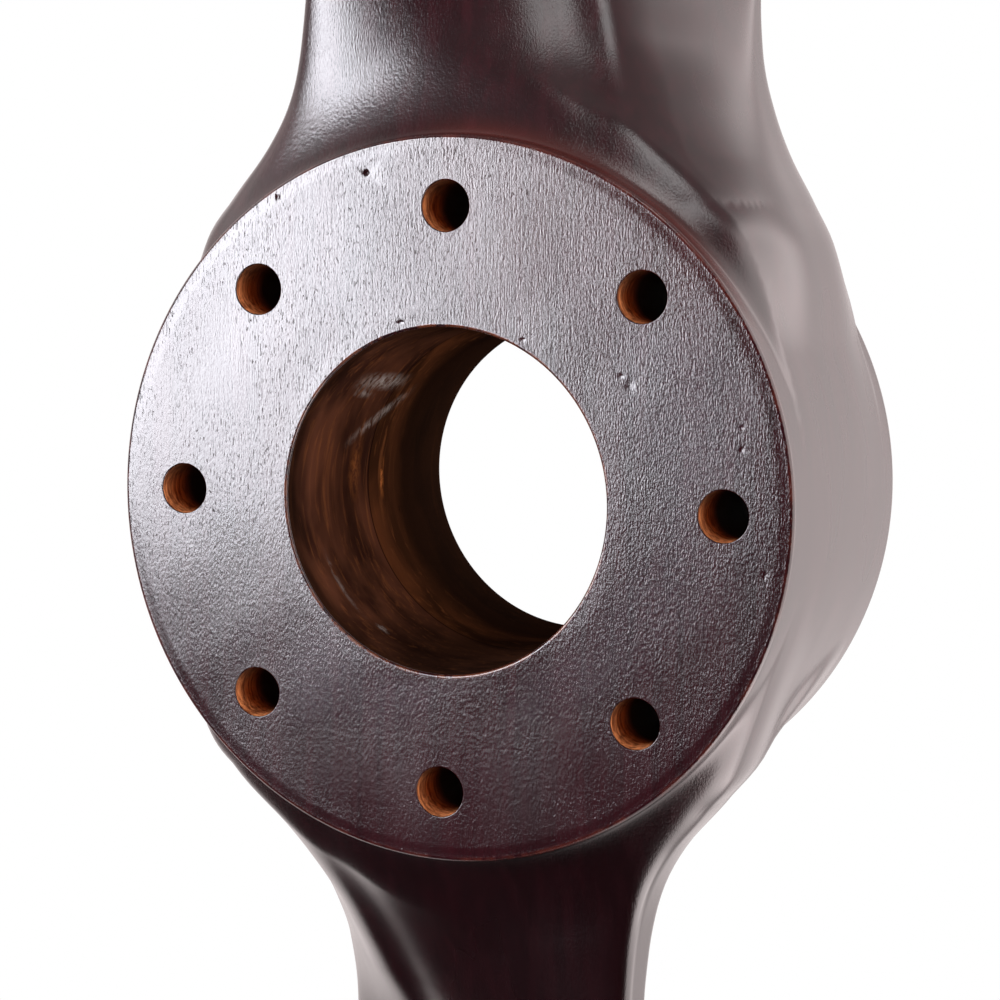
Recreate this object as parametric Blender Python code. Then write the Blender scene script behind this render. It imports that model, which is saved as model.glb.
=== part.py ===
"""Aircraft propeller: a two-blade wooden propeller carved from a stack of glued boards.

Frame: metres, +Z up along one blade, the hub's axis along Y. The origin is the
centre of the bore on the hub's rear face, and the front face looks towards -Y.
The depth of a point is counted back from the front face.
"""

import math

import bmesh
import bpy
import numpy as np
from mathutils import Matrix

# Hub
HUB_RADIUS = 0.093
HUB_DEPTH = 0.098
FRONT_CHAMFER = 0.0012
REAR_ROUND = 0.005
BORE_RADIUS = 0.0445
BOLT_CIRCLE_RADIUS = 0.075
BOLT_HOLE_RADIUS = 0.0065
BOLT_COUNT = 8

# Boards, glued face to face through the hub's depth, from the front one to the rear one
BOARDS = ("front_board", "second_board", "third_board", "fourth_board", "fifth_board", "rear_board")
GLUE_GAP = 0.0003

# Blade stations from the hub's centre to the tip, in millimetres. Each row holds the radius;
# the leading edge's x, front depth and rear depth; the same for the trailing edge; the x and
# depth of the ridge along the front face, and how soft it is; how far the front face bulges
# before the ridge and is hollowed beside it; and how far the rear face bulges.
STATIONS_MM = (
    (0, -64, 14, 80, 64, 14, 80, 40, 14, 10, 0, 0, 0),
    (40, -66, 10, 70, 68, 12, 84, 50, 11, 10, 0, 0, 0),
    (64, -69.5, 8, 48, 77, 15, 87, 56, 11, 8, 1, 0, 0),
    (76, -63, 8, 40, 73, 22, 87, 51, 13, 7, 1, 0.3, 0),
    (88, -56, 9, 35, 68, 31, 86, 47.5, 16, 6, 2, 0.8, 0),
    (101, -51.5, 10, 33, 64, 40, 85, 43.5, 20, 5, 3, 1.2, 1),
    (118, -48.5, 11, 31, 60, 53, 82.5, 37, 26, 5, 4, 1.5, 2),
    (134, -47.5, 12, 30, 58.5, 63, 81.5, 31, 32, 5, 4, 2, 3),
    (152, -48, 14, 29, 58.5, 70, 81, 24, 37, 7, 4, 2, 3),
    (220, -53, 19, 28, 61, 75.5, 80, 0, 34, 14, 3, 0, 3),
    (320, -63, 24, 29, 68, 73, 77.5, -16, 31, 18, 2, 0, 2),
    (450, -72, 31, 35, 74, 68, 71, -20, 31, 20, 1, 0, 1),
    (600, -73, 35, 38.5, 74, 63, 65.5, -20, 35, 18, 1, 0, 0.5),
    (740, -66, 38, 41, 67, 59.5, 61.5, -18, 38, 15, 0.5, 0, 0.3),
    (850, -52, 40.5, 43, 55, 56, 57.5, -14, 40, 12, 0, 0, 0.2),
    (905, -36, 42.5, 44.5, 41, 53.5, 54.5, -8, 42, 9, 0, 0, 0),
    (926, -20, 44.5, 46, 27, 51.5, 52.3, 0, 44.3, 6, 0, 0, 0),
    (932, -8, 46, 47, 15, 50, 50.8, 2, 45.8, 4, 0, 0, 0),
)
TIP_RADIUS = STATIONS_MM[-1][0] / 1000

# How square the section's edges are: high for a flat edge with small rounds, 2 for an ellipse
ROOT_SQUARENESS = (7.0, 4.0)
BLADE_SQUARENESS = 2.4
SQUARE_UP_TO = 0.15
ROUND_FROM = 0.35

# The hollow round between the hub's drum and the blades: at the leading edge's front and rear,
# at the trailing edge, and how soon it fades towards the hub's faces
LEAD_FILLETS = (0.027, 0.0175)
TRAIL_FILLET = 0.034
FILLET_FADE = 0.014

# Where the hollow lies before the ridge, and how wide it is
HOLLOW_OFFSET = 0.011
HOLLOW_WIDTH = 0.008

# Mesh fineness
FACE_POINTS = 21
EDGE_POINTS = 8
ROOT_ROWS = 10
ROOT_END = 0.16
ROW_SETBACK = 0.0006
ROOT_RELAXATIONS = 24
BLADE_RADII = (
    0.185, 0.22, 0.265, 0.32, 0.39, 0.47, 0.56, 0.65, 0.74, 0.81, 0.86, 0.895, 0.918, TIP_RADIUS,
)
BORE_SEGMENTS = 48
HOLE_SEGMENTS = 16
RIM_ROUND_STEPS = 3

STAINED_WOOD = (0.075, 0.022, 0.02)


def clear_scene():
    for obj in list(bpy.data.objects):
        bpy.data.objects.remove(obj, do_unlink=True)


def new_collection(name):
    collection = bpy.data.collections.new(name)
    bpy.context.scene.collection.children.link(collection)
    return collection


def wood_material(name, colour):
    material = bpy.data.materials.new(name)
    material.use_nodes = True
    shader = material.node_tree.nodes["Principled BSDF"]
    shader.inputs["Base Color"].default_value = (*colour, 1.0)
    shader.inputs["Roughness"].default_value = 0.38
    shader.inputs["Metallic"].default_value = 0.0
    return material


def mesh_from(bm, name):
    mesh = bpy.data.meshes.new(name)
    bm.to_mesh(mesh)
    bm.free()
    return mesh


def ease(value, low, high):
    """0 below low, 1 above high, and a smooth step between."""
    share = np.clip((value - low) / (high - low), 0, 1)
    return share * share * (3 - 2 * share)


def smooth_curve(xs, ys, x):
    """Cubics through the stations that never overshoot them (Fritsch and Carlson's slopes)."""
    steps = np.diff(xs)
    slopes = np.diff(ys) / steps
    tangents = np.zeros(len(xs))
    for i in range(1, len(xs) - 1):
        if slopes[i - 1] * slopes[i] > 0:
            before = 2 * steps[i] + steps[i - 1]
            after = steps[i] + 2 * steps[i - 1]
            tangents[i] = (before + after) / (before / slopes[i - 1] + after / slopes[i])
    tangents[-1] = slopes[-1]
    x = np.clip(x, xs[0], xs[-1])
    i = np.clip(np.searchsorted(xs, x) - 1, 0, len(steps) - 1)
    t = (x - xs[i]) / steps[i]
    start = (2 * t**3 - 3 * t**2 + 1) * ys[i] + (t**3 - 2 * t**2 + t) * steps[i] * tangents[i]
    end = (3 * t**2 - 2 * t**3) * ys[i + 1] + (t**3 - t**2) * steps[i] * tangents[i + 1]
    return start + end


def blade_edges(radius):
    """The station values at each radius, in metres."""
    table = np.array(STATIONS_MM, float) / 1000
    return [smooth_curve(table[:, 0], column, radius) for column in table.T[1:]]


def squareness(radius, across):
    """The section's exponent: leading half where across is below 0, trailing half above."""
    share = ease(radius, SQUARE_UP_TO, ROUND_FROM)
    root = np.where(across < 0, *ROOT_SQUARENESS)
    return root + (BLADE_SQUARENESS - root) * share


def face_depths(x, stations):
    """The depths of the front and the rear face of a section, over its ridge and its hollow."""
    lead_x, lead_front, lead_rear, trail_x, trail_front, trail_rear = stations[:6]
    ridge_x, ridge, softness, bulge, hollow, rear_bulge = stations[6:]
    lead_share = (x - lead_x) / (ridge_x - lead_x)
    from_lead = lead_front + (ridge - lead_front) * lead_share
    from_lead = from_lead - bulge * np.maximum(4 * lead_share * (1 - lead_share), -1)
    from_lead = from_lead + hollow * np.exp(-(((x - ridge_x + HOLLOW_OFFSET) / HOLLOW_WIDTH) ** 2))
    from_ridge = ridge + (trail_front - ridge) * (x - ridge_x) / (trail_x - ridge_x)
    overlap = np.maximum(softness - np.abs(from_lead - from_ridge), 0) / softness
    front_depth = np.maximum(from_lead, from_ridge) + overlap**2 * softness / 4
    share = (x - lead_x) / (trail_x - lead_x)
    rear_depth = lead_rear + (trail_rear - lead_rear) * share
    rear_depth = rear_depth + rear_bulge * np.maximum(4 * share * (1 - share), -0.6)
    return front_depth, rear_depth


def section_value(x, depth, z):
    """Below 0 inside a blade's section, 0 on its skin and above 0 outside it."""
    radius = np.abs(z)
    stations = blade_edges(radius)
    across = 2 * (x - stations[0]) / (stations[3] - stations[0]) - 1
    front_depth, rear_depth = face_depths(x, stations)
    through = 2 * (depth - front_depth) / (rear_depth - front_depth) - 1
    power = squareness(radius, across)
    return (np.abs(across) ** power + np.abs(through) ** power) ** (1 / power) - 1


def slope_of(field, points, step=0.0002):
    """The gradient of a field by differences, one row for each point."""
    slopes = np.empty_like(points)
    for axis in range(3):
        shift = np.zeros(3)
        shift[axis] = step
        slopes[:, axis] = (field(points + shift) - field(points - shift)) / (2 * step)
    return slopes


def blade_distance(points):
    """About how far each point lies outside the blade."""
    field = lambda at: section_value(*at.T)
    slope = np.linalg.norm(slope_of(field, points), axis=1)
    return field(points) / np.maximum(slope, 1.0)


def drum_distance(points):
    """How far each point lies outside the hub's drum, whose rear rim is rounded."""
    x, depth, z = points.T
    back = np.clip(depth - (HUB_DEPTH - REAR_ROUND), 0, 0.999 * REAR_ROUND)
    pulled_in = REAR_ROUND - np.sqrt(REAR_ROUND**2 - back**2)
    return np.hypot(x, z) - HUB_RADIUS + pulled_in


def fillet_size(x, depth):
    front, rear = LEAD_FILLETS
    lead = front + (rear - front) * ease(depth, 0.02, 0.055)
    size = lead + (TRAIL_FILLET - lead) * ease(x, -0.03, 0.03)
    fade = np.minimum(ease(depth, 0, FILLET_FADE), ease(HUB_DEPTH - depth, 0, FILLET_FADE))
    return size * fade + 1e-6


def skin_distance(points):
    """The blade and the drum as one body, with a hollow round where they meet."""
    blade = blade_distance(points)
    drum = drum_distance(points)
    fillet = fillet_size(points[:, 0], points[:, 1])
    overlap = np.maximum(fillet - np.abs(blade - drum), 0) / fillet
    return np.minimum(blade, drum) - overlap**2 * fillet / 4


def pull_to_skin(points, rounds=2, longest_step=0.004):
    for _ in range(rounds):
        slope = slope_of(skin_distance, points)
        steepness = np.maximum((slope**2).sum(axis=1), 0.05)
        step = (skin_distance(points) / steepness)[:, None] * slope
        length = np.linalg.norm(step, axis=1, keepdims=True)
        points = points - step * np.minimum(1, longest_step / np.maximum(length, 1e-12))
    return points


def hub_loop():
    """Round the upper half of the drum's wall: front rim, right side, rear rim, left side."""
    turn = np.pi * np.arange(FACE_POINTS) / FACE_POINTS
    along = np.arange(EDGE_POINTS) / EDGE_POINTS
    front = FRONT_CHAMFER
    rear = HUB_DEPTH - REAR_ROUND
    rim_x = HUB_RADIUS * np.cos(turn)
    rim_z = HUB_RADIUS * np.sin(turn)
    side = front + (rear - front) * along
    edge = np.full(EDGE_POINTS, HUB_RADIUS)
    flat = np.zeros(EDGE_POINTS)
    return np.concatenate([
        np.stack([-rim_x, np.full(FACE_POINTS, front), rim_z], axis=1),
        np.stack([edge, side, flat], axis=1),
        np.stack([rim_x, np.full(FACE_POINTS, rear), rim_z], axis=1),
        np.stack([-edge, front + rear - side, flat], axis=1),
    ])


def blade_loop(radius):
    """Round a blade's section in the same order: front face, trailing edge, rear face, leading edge."""
    stations = [float(v) for v in blade_edges(np.array(radius))]
    angle = np.linspace(-np.pi, np.pi, 2001)
    power = squareness(radius, np.cos(angle))
    across = np.sign(np.cos(angle)) * np.abs(np.cos(angle)) ** (2 / power)
    through = np.sign(np.sin(angle)) * np.abs(np.sin(angle)) ** (2 / power)
    x = stations[0] + (stations[3] - stations[0]) * (across + 1) / 2
    front_depth, rear_depth = face_depths(x, stations)
    depth = front_depth + (rear_depth - front_depth) * (through + 1) / 2
    length = np.concatenate([[0], np.cumsum(np.hypot(np.diff(x), np.diff(depth)))])
    corners = []
    for side, face in ((-1, -1), (1, -1), (1, 1), (-1, 1)):
        nearest = np.argmin((across - side) ** 2 + (through - face) ** 2)
        corners.append(length[nearest])
    corners.append(corners[0] + length[-1])
    stops = []
    for corner, after, count in zip(corners, corners[1:], (FACE_POINTS, EDGE_POINTS) * 2):
        stops.append(corner + (after - corner) * np.arange(count) / count)
    stops = np.concatenate(stops) % length[-1]
    places = [np.interp(stops, length, x), np.interp(stops, length, depth), np.full(len(stops), radius)]
    return np.stack(places, axis=1)


def blade_rows():
    """Closed rows of points from the drum's wall up to the tip, all in one order."""
    start = hub_loop()
    end = blade_loop(ROOT_END)
    share = np.linspace(0, 1, ROOT_ROWS + 1)[:, None, None]
    rows = (1 - share) * start + share * end
    # Each row keeps a little further behind the front rim than the row before it.
    setback = ROW_SETBACK * np.repeat(np.arange(1, ROOT_ROWS), len(start))
    for _ in range(ROOT_RELAXATIONS):
        beside = (np.roll(rows, 1, axis=1) + np.roll(rows, -1, axis=1))[1:-1]
        above = rows[:-2] + rows[2:]
        points = (0.4 * rows[1:-1] + 0.15 * (beside + above)).reshape(-1, 3)
        points = pull_to_skin(points)
        points[:, 1] = np.maximum(points[:, 1], FRONT_CHAMFER + setback)
        points[:, 1] = np.minimum(points[:, 1], HUB_DEPTH - REAR_ROUND - setback)
        points[:, 2] = np.maximum(points[:, 2], 0.0003)
        rows[1:-1] = points.reshape(ROOT_ROWS - 1, -1, 3)
    outer = np.array([blade_loop(radius) for radius in BLADE_RADII])
    return np.concatenate([rows, outer])


def rim_loop(bm, rim, radius, y):
    """The rim's points moved in to this radius, on the plane y."""
    loop = []
    for vert in rim:
        scale = radius / math.hypot(vert.co.x, vert.co.z)
        loop.append(bm.verts.new((vert.co.x * scale, y, vert.co.z * scale)))
    return loop


def hub_cap(rim, loops):
    """Faces from a whole rim of verts through inner loops, with a flat face in the last one."""
    for outer, inner in zip([rim, *loops], loops):
        for k in range(len(outer)):
            after = (k + 1) % len(outer)
            yield (outer[k], outer[after], inner[after], inner[k])
    yield tuple(loops[-1])


def propeller_blank():
    """The whole carved shape, with no holes: a loft from the drum's wall to each blade's tip."""
    bm = bmesh.new()
    rows = blade_rows()
    rims = {"front": [], "rear": []}
    for side in (1, -1):
        grid = []
        for row in rows:
            turned = row * (side, 1, side)
            grid.append([bm.verts.new((x, depth - HUB_DEPTH, z)) for x, depth, z in turned])
        for low, high in zip(grid, grid[1:]):
            for k in range(len(low)):
                after = (k + 1) % len(low)
                bm.faces.new((low[k], low[after], high[after], high[k]))
        bm.faces.new(grid[-1])
        rear_start = FACE_POINTS + EDGE_POINTS
        rims["front"] += grid[0][:FACE_POINTS]
        rims["rear"] += grid[0][rear_start:rear_start + FACE_POINTS]
    front_loop = rim_loop(bm, rims["front"], HUB_RADIUS - FRONT_CHAMFER, -HUB_DEPTH)
    rear_loops = []
    for step in range(1, RIM_ROUND_STEPS + 1):
        angle = 0.5 * math.pi * step / RIM_ROUND_STEPS
        radius = HUB_RADIUS - REAR_ROUND * (1 - math.cos(angle))
        rear_loops.append(rim_loop(bm, rims["rear"], radius, -REAR_ROUND * (1 - math.sin(angle))))
    for rim, loops in ((rims["front"], [front_loop]), (rims["rear"], rear_loops)):
        for face in hub_cap(rim, loops):
            bm.faces.new(face)
    bmesh.ops.remove_doubles(bm, verts=bm.verts, dist=1e-6)
    bmesh.ops.recalc_face_normals(bm, faces=bm.faces)
    bmesh.ops.triangulate(bm, faces=bm.faces)
    return mesh_from(bm, "propeller_blank")


def helper(name, mesh, collection):
    obj = bpy.data.objects.new(name, mesh)
    collection.objects.link(obj)
    obj.hide_render = True
    obj.display_type = "WIRE"
    return obj


def add_bar(bm, radius, segments, x, z):
    """A round bar along Y, past both faces of the hub."""
    past = 0.01
    turn = Matrix.Translation((x, -HUB_DEPTH / 2, z)) @ Matrix.Rotation(math.pi / 2, 4, "X")
    length = HUB_DEPTH + 2 * past
    bmesh.ops.create_cone(
        bm, cap_ends=True, segments=segments, radius1=radius, radius2=radius, depth=length, matrix=turn
    )


def hole_cutter(collection):
    """The bore and the ring of bolt holes."""
    bm = bmesh.new()
    add_bar(bm, BORE_RADIUS, BORE_SEGMENTS, 0.0, 0.0)
    for k in range(BOLT_COUNT):
        angle = 2 * math.pi * k / BOLT_COUNT
        x = BOLT_CIRCLE_RADIUS * math.sin(angle)
        z = BOLT_CIRCLE_RADIUS * math.cos(angle)
        add_bar(bm, BOLT_HOLE_RADIUS, HOLE_SEGMENTS, x, z)
    return helper("bore_and_bolt_holes", mesh_from(bm, "bore_and_bolt_holes"), collection)


def slab(index, collection):
    """The stretch of depth that one board fills, half a glue gap in from each neighbour."""
    past = 0.01
    thickness = HUB_DEPTH / len(BOARDS)
    front = -HUB_DEPTH + index * thickness
    low = front + (GLUE_GAP / 2 if index else -past)
    high = front + thickness - (GLUE_GAP / 2 if index < len(BOARDS) - 1 else -past)
    bm = bmesh.new()
    bmesh.ops.create_cube(bm, size=1.0)
    bmesh.ops.scale(bm, verts=bm.verts, vec=(4 * HUB_RADIUS, high - low, 2.2 * TIP_RADIUS))
    bmesh.ops.translate(bm, verts=bm.verts, vec=(0, (low + high) / 2, 0))
    return helper(f"slab_{index + 1}", mesh_from(bm, "slab"), collection)


def boolean(obj, other, operation):
    modifier = obj.modifiers.new(other.name, "BOOLEAN")
    modifier.object = other
    modifier.operation = operation
    modifier.solver = "EXACT"


def board(index, blank, cutter, parts, helpers):
    obj = bpy.data.objects.new(BOARDS[index], blank.copy())
    parts.objects.link(obj)
    boolean(obj, slab(index, helpers), "INTERSECT")
    boolean(obj, cutter, "DIFFERENCE")
    # Neighbouring boards differ a little in tone, as boards of one tree do.
    tone = 1.0 + 0.1 * (index % 2)
    obj.data.materials.append(wood_material(BOARDS[index], [tone * c for c in STAINED_WOOD]))
    obj.data.shade_smooth()
    obj.data.set_sharp_from_angle(angle=math.radians(35))


def main():
    clear_scene()
    parts = new_collection("aircraft_propeller")
    helpers = new_collection("cutters")
    blank = propeller_blank()
    cutter = hole_cutter(helpers)
    for index in range(len(BOARDS)):
        board(index, blank, cutter, parts, helpers)


main()
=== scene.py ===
import math

import bmesh
import bpy
import numpy as np
from mathutils import Matrix, Vector
from mathutils.geometry import delaunay_2d_cdt


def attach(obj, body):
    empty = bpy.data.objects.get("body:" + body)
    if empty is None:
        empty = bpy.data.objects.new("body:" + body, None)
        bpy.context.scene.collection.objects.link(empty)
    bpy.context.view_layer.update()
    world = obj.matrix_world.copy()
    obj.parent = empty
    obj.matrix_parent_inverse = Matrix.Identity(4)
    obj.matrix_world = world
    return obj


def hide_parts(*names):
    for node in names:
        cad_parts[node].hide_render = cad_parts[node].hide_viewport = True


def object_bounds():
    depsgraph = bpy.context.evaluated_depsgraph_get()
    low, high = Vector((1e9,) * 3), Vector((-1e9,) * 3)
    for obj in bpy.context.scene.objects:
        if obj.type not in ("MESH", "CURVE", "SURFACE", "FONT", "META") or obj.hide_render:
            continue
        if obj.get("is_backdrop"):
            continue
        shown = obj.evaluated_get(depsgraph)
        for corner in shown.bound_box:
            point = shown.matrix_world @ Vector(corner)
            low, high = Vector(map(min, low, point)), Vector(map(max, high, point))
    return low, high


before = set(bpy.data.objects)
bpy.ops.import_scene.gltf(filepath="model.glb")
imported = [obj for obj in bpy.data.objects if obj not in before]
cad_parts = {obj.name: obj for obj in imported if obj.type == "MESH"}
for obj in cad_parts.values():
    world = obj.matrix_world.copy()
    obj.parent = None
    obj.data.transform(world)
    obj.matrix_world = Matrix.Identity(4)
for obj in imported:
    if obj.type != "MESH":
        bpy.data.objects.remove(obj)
CAD_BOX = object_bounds()

# Hub, as in the part's source
HUB_RADIUS = 0.093
HUB_DEPTH = 0.098
FRONT_ROUND = 0.0012
REAR_ROUND = 0.005
BORE_RADIUS = 0.0445
BOLT_CIRCLE_RADIUS = 0.075
BOLT_HOLE_RADIUS = 0.0065
BOLT_COUNT = 8
BOARDS = ("front_board", "second_board", "third_board", "fourth_board", "fifth_board", "rear_board")

# Blade stations, as in the part's source, in millimetres. Each row holds the radius; the leading
# edge's x, front depth and rear depth; the same for the trailing edge; the x and depth of the
# ridge along the front face, and how soft it is; how far the front face bulges before the ridge
# and is hollowed beside it; and how far the rear face bulges.
STATIONS_MM = (
    (0, -64, 14, 80, 64, 14, 80, 40, 14, 10, 0, 0, 0),
    (40, -66, 10, 70, 68, 12, 84, 50, 11, 10, 0, 0, 0),
    (64, -69.5, 8, 48, 77, 15, 87, 56, 11, 8, 1, 0, 0),
    (76, -63, 8, 40, 73, 22, 87, 51, 13, 7, 1, 0.3, 0),
    (88, -56, 9, 35, 68, 31, 86, 47.5, 16, 6, 2, 0.8, 0),
    (101, -51.5, 10, 33, 64, 40, 85, 43.5, 20, 5, 3, 1.2, 1),
    (118, -48.5, 11, 31, 60, 53, 82.5, 37, 26, 5, 4, 1.5, 2),
    (134, -47.5, 12, 30, 58.5, 63, 81.5, 31, 32, 5, 4, 2, 3),
    (152, -48, 14, 29, 58.5, 70, 81, 24, 37, 7, 4, 2, 3),
    (220, -53, 19, 28, 61, 75.5, 80, 0, 34, 14, 3, 0, 3),
    (320, -63, 24, 29, 68, 73, 77.5, -16, 31, 18, 2, 0, 2),
    (450, -72, 31, 35, 74, 68, 71, -20, 31, 20, 1, 0, 1),
    (600, -73, 35, 38.5, 74, 63, 65.5, -20, 35, 18, 1, 0, 0.5),
    (740, -66, 38, 41, 67, 59.5, 61.5, -18, 38, 15, 0.5, 0, 0.3),
    (850, -52, 40.5, 43, 55, 56, 57.5, -14, 40, 12, 0, 0, 0.2),
    (905, -36, 42.5, 44.5, 41, 53.5, 54.5, -8, 42, 9, 0, 0, 0),
    (926, -20, 44.5, 46, 27, 51.5, 52.3, 0, 44.3, 6, 0, 0, 0),
    (932, -8, 46, 47, 15, 50, 50.8, 2, 45.8, 4, 0, 0, 0),
)
TIP_RADIUS = STATIONS_MM[-1][0] / 1000

# How square a section's edges are: high for a flat edge with small rounds, 2 for an ellipse
ROOT_SQUARENESS = (7.0, 4.0)
BLADE_SQUARENESS = 2.4
SQUARE_UP_TO = 0.15
ROUND_FROM = 0.35
FRONT_BULGE_LIMIT = -1.0
REAR_BULGE_LIMIT = -0.6

# The hollow round between the drum and the blades: its sizes at the leading edge's front and
# rear and at the trailing edge, where it changes from one to the next, and where it fades
LEAD_FILLETS = (0.027, 0.0175)
TRAIL_FILLET = 0.034
LEAD_CHANGE_DEPTHS = (0.02, 0.055)
SIDE_CHANGE_X = (-0.03, 0.03)
FILLET_FADE = 0.014
LEAST_FILLET = 1e-6

# Where the hollow lies before the ridge, and how wide it is
HOLLOW_OFFSET = 0.011
HOLLOW_WIDTH = 0.008

# The part's own rows of points, which are smoothed before they are made finer
ROOT_END = 0.16
ROOT_ROWS = 10
FACE_POINTS = 21
EDGE_POINTS = 8
CURVE_SAMPLES = 6001
LOOP_SAMPLES = 8001
RELAX_ROUNDS = 24
RELAX_SETBACK = 0.0006
OWN_SHARE = 0.4
NEIGHBOUR_SHARE = 0.15
LEAST_Z = 0.0003

# How points are pulled to the skin: the step that its slope is taken over, how often, how far at
# most, the least steepness, and the share of the rear round over which it counts as round
SLOPE_STEP = 0.0002
PULL_ROUNDS = 2
LONGEST_PULL = 0.004
LEAST_STEEPNESS = 0.05
ROUND_SHARE = 0.999

# Fineness of the surface that shows
FINER = 5
FINER_ROWS = 6
FINER_ROUNDS = 5
FINER_SETBACK = 0.0001
BLADE_ROW_STEP = 0.006
TIP_CROWDING = 1.15
ROUND_STEPS = 4
BORE_SEGMENTS = 240
HOLE_SEGMENTS = 48
WALL_ROWS = 40
BORE_ROUND = 0.0007
HOLE_ROUND = 0.0003
WELD_DIGITS = 7
FACE_DIGITS = 5
SOLID_SHARE = 0.8
CUT_TOLERANCE = 1e-7

# The hub's faces: how far apart their points lie, how far they stay from borders, dents and
# rings, the rings that follow the front's rim, and how far the front face is crowned
FRONT_SPACING = 0.0022
REAR_SPACING = 0.006
BORDER_CLEARANCE = 0.0008
HOLE_CLEARANCE = 0.0006
DENT_CLEARANCE = 0.0006
DENT_SAMPLES = 13
DENT_STAGGER = 0.03
RIM_INSETS = (0.0009, 0.0016, 0.0023, 0.003)
RIM_SEGMENTS = 420
RIM_CLEARANCE = 0.0005
FACE_CROWN = 0.00013
CROWN_WIDTH = 0.003

# The front face's slow waves: how high the quicker and the slower ones are, how far apart along
# X and along Z, and how far and how often the quicker ones bend
QUICK_WAVE = 0.00004
SLOW_WAVE = 0.00003
QUICK_LENGTHS = (0.0061, 0.0094)
SLOW_LENGTHS = (0.0142, 0.019)
WAVE_BEND = 1.3
BEND_LENGTH = 0.013
WAVE_SHIFT = 0.7

# The photograph's camera
CAMERA_PLACE = (0.2765, -0.7179, 0.066)
CAMERA_LENS = 96.4
SENSOR_WIDTH = 36.0
CAMERA_AXES = ((0.9214, 0.3885, 0.0118), (-0.0481, 0.0838, 0.9953), (0.3857, -0.9176, 0.0958))

# The soft lights: name, place, size, power and colour. Both face the middle of the hub's front.
LIGHTS = (
    ("key_light", (-1.05, -1.55, 0.31), (0.78, 1.09), 75, (0.93, 0.93, 1.0)),
    ("top_light", (0.54, -0.91, 1.51), (0.5, 0.5), 5, (1.0, 1.0, 1.0)),
)

# How bright the surroundings are: before the part, behind it, above it, below it, on the
# right, low on the right and high on the left; how far it is shaded low on the left; and the
# surroundings' colour in reflections and as the camera sees it
BEFORE = 0.012
BEHIND = 1.2
ABOVE = 0.2
BELOW = 0.6
RIGHT = 3.4
LOW_RIGHT = 4.2
LEFT = 1.3
LOW_LEFT_SHADE = -0.95
WARM_WHITE = (1.0, 0.90, 0.89)
PURE_WHITE = (1.0, 1.0, 1.0)

FLOOR_RADIUS = 1.7
FLOOR_GAP = 0.002

# Each board's material slots, in this order
LACQUERED, BORE_WOOD, HOLE_WOOD = 0, 1, 2

# How light each board's stain is, from the front board to the rear one
BOARD_TONES = (1.0, 1.08, 0.94, 1.05, 0.97, 1.1)

# The stain, and what lies over it: sunk pores, the worn rim, painted shade on the lower blade's root,
# the red band beside the rim and the bore's lip
STAIN_DARK = (0.0085, 0.0009, 0.0017)
STAIN_WARM = (0.016, 0.0018, 0.0032)
PORE_COLOUR = (0.001, 0.0004, 0.0004)
WORN_COLOUR = (0.07, 0.014, 0.008)
# painted shade for the lower blade's root
PAINTED_SHADE_COLOUR = (0.002, 0.0004, 0.0006)
RED_COLOUR = (0.085, 0.016, 0.011)
LIP_COLOUR = (0.22, 0.06, 0.02)

# The lacquer's gloss: how rough it is on the front face, how much duller beside it and in pores
LACQUER = {"IOR": 1.5, "Specular IOR Level": 0.4, "Coat Weight": 0.2, "Coat Roughness": 0.12}
FACE_ROUGHNESS = (0.17, 0.22)
OFF_FACE_ROUGHNESS = 0.06
PORE_ROUGHNESS = 0.22

# How deep the fine relief is
PEEL_DEPTH = 0.000047
FIBRE_DEPTH = 0.00003
PORE_DEPTH = 0.00014
BORE_RELIEF = 0.00006
HOLE_RELIEF = 0.00015

# The bore: the dark and the light of its front and rear boards, streaks, glue line and painted shade
BORE_FINISH = {"Roughness": 0.75, "Specular IOR Level": 0.0}
BORE_FRONT = ((0.034, 0.013, 0.008), (0.115, 0.042, 0.022))
BORE_REAR = ((0.038, 0.014, 0.006), (0.125, 0.042, 0.016))
BORE_STREAK = (0.25, 0.086, 0.030)
GLUE_COLOUR = (0.004, 0.002, 0.002)
# painted shade inside the bore
BORE_SHADE_COLOUR = (0.006, 0.003, 0.002)

# The bolt holes: the dark and the light of the bare wood, and the painted shade farther in and on the top
# of each wall
HOLE_FINISH = {"Roughness": 0.75, "Specular IOR Level": 0.1}
HOLE_DARK = (0.20, 0.062, 0.022)
HOLE_LIGHT = (0.72, 0.28, 0.105)
# painted shade inside the bolt holes
HOLE_SHADE_COLOUR = (0.020, 0.007, 0.004)

# Marks on the left of the bore's wall, the pale ones painted highlights, in millimetres: z, depth,
# half height, half depth, slant, strength and tone
# pale smears painted as highlights on the bore's wall
PAINTED_HIGHLIGHT_TONE = (0.55, 0.50, 0.45)
ORANGE = (0.62, 0.20, 0.05)
BLACK = (0.002, 0.001, 0.001)
BORE_MARKS_MM = (
    (28.0, 37.0, 3.0, 20.0, -0.05, 0.9, PAINTED_HIGHLIGHT_TONE),
    (25.0, 30.0, 1.6, 9.0, -0.1, 0.5, PAINTED_HIGHLIGHT_TONE),
    (17.5, 47.0, 2.6, 18.0, 0.44, 0.55, PAINTED_HIGHLIGHT_TONE),
    (-25.0, 16.0, 10.0, 1.6, 0.0, 0.25, PAINTED_HIGHLIGHT_TONE),
    (-36.6, 18.5, 1.6, 2.0, 0.0, 0.6, PAINTED_HIGHLIGHT_TONE),
    (0.0, 57.7, 7.0, 1.6, 0.0, 0.8, ORANGE),
    (4.0, 40.0, 12.0, 5.0, 0.0, 0.35, ORANGE),
    (-9.8, 68.0, 1.6, 2.2, 0.0, 0.9, BLACK),
)

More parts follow.
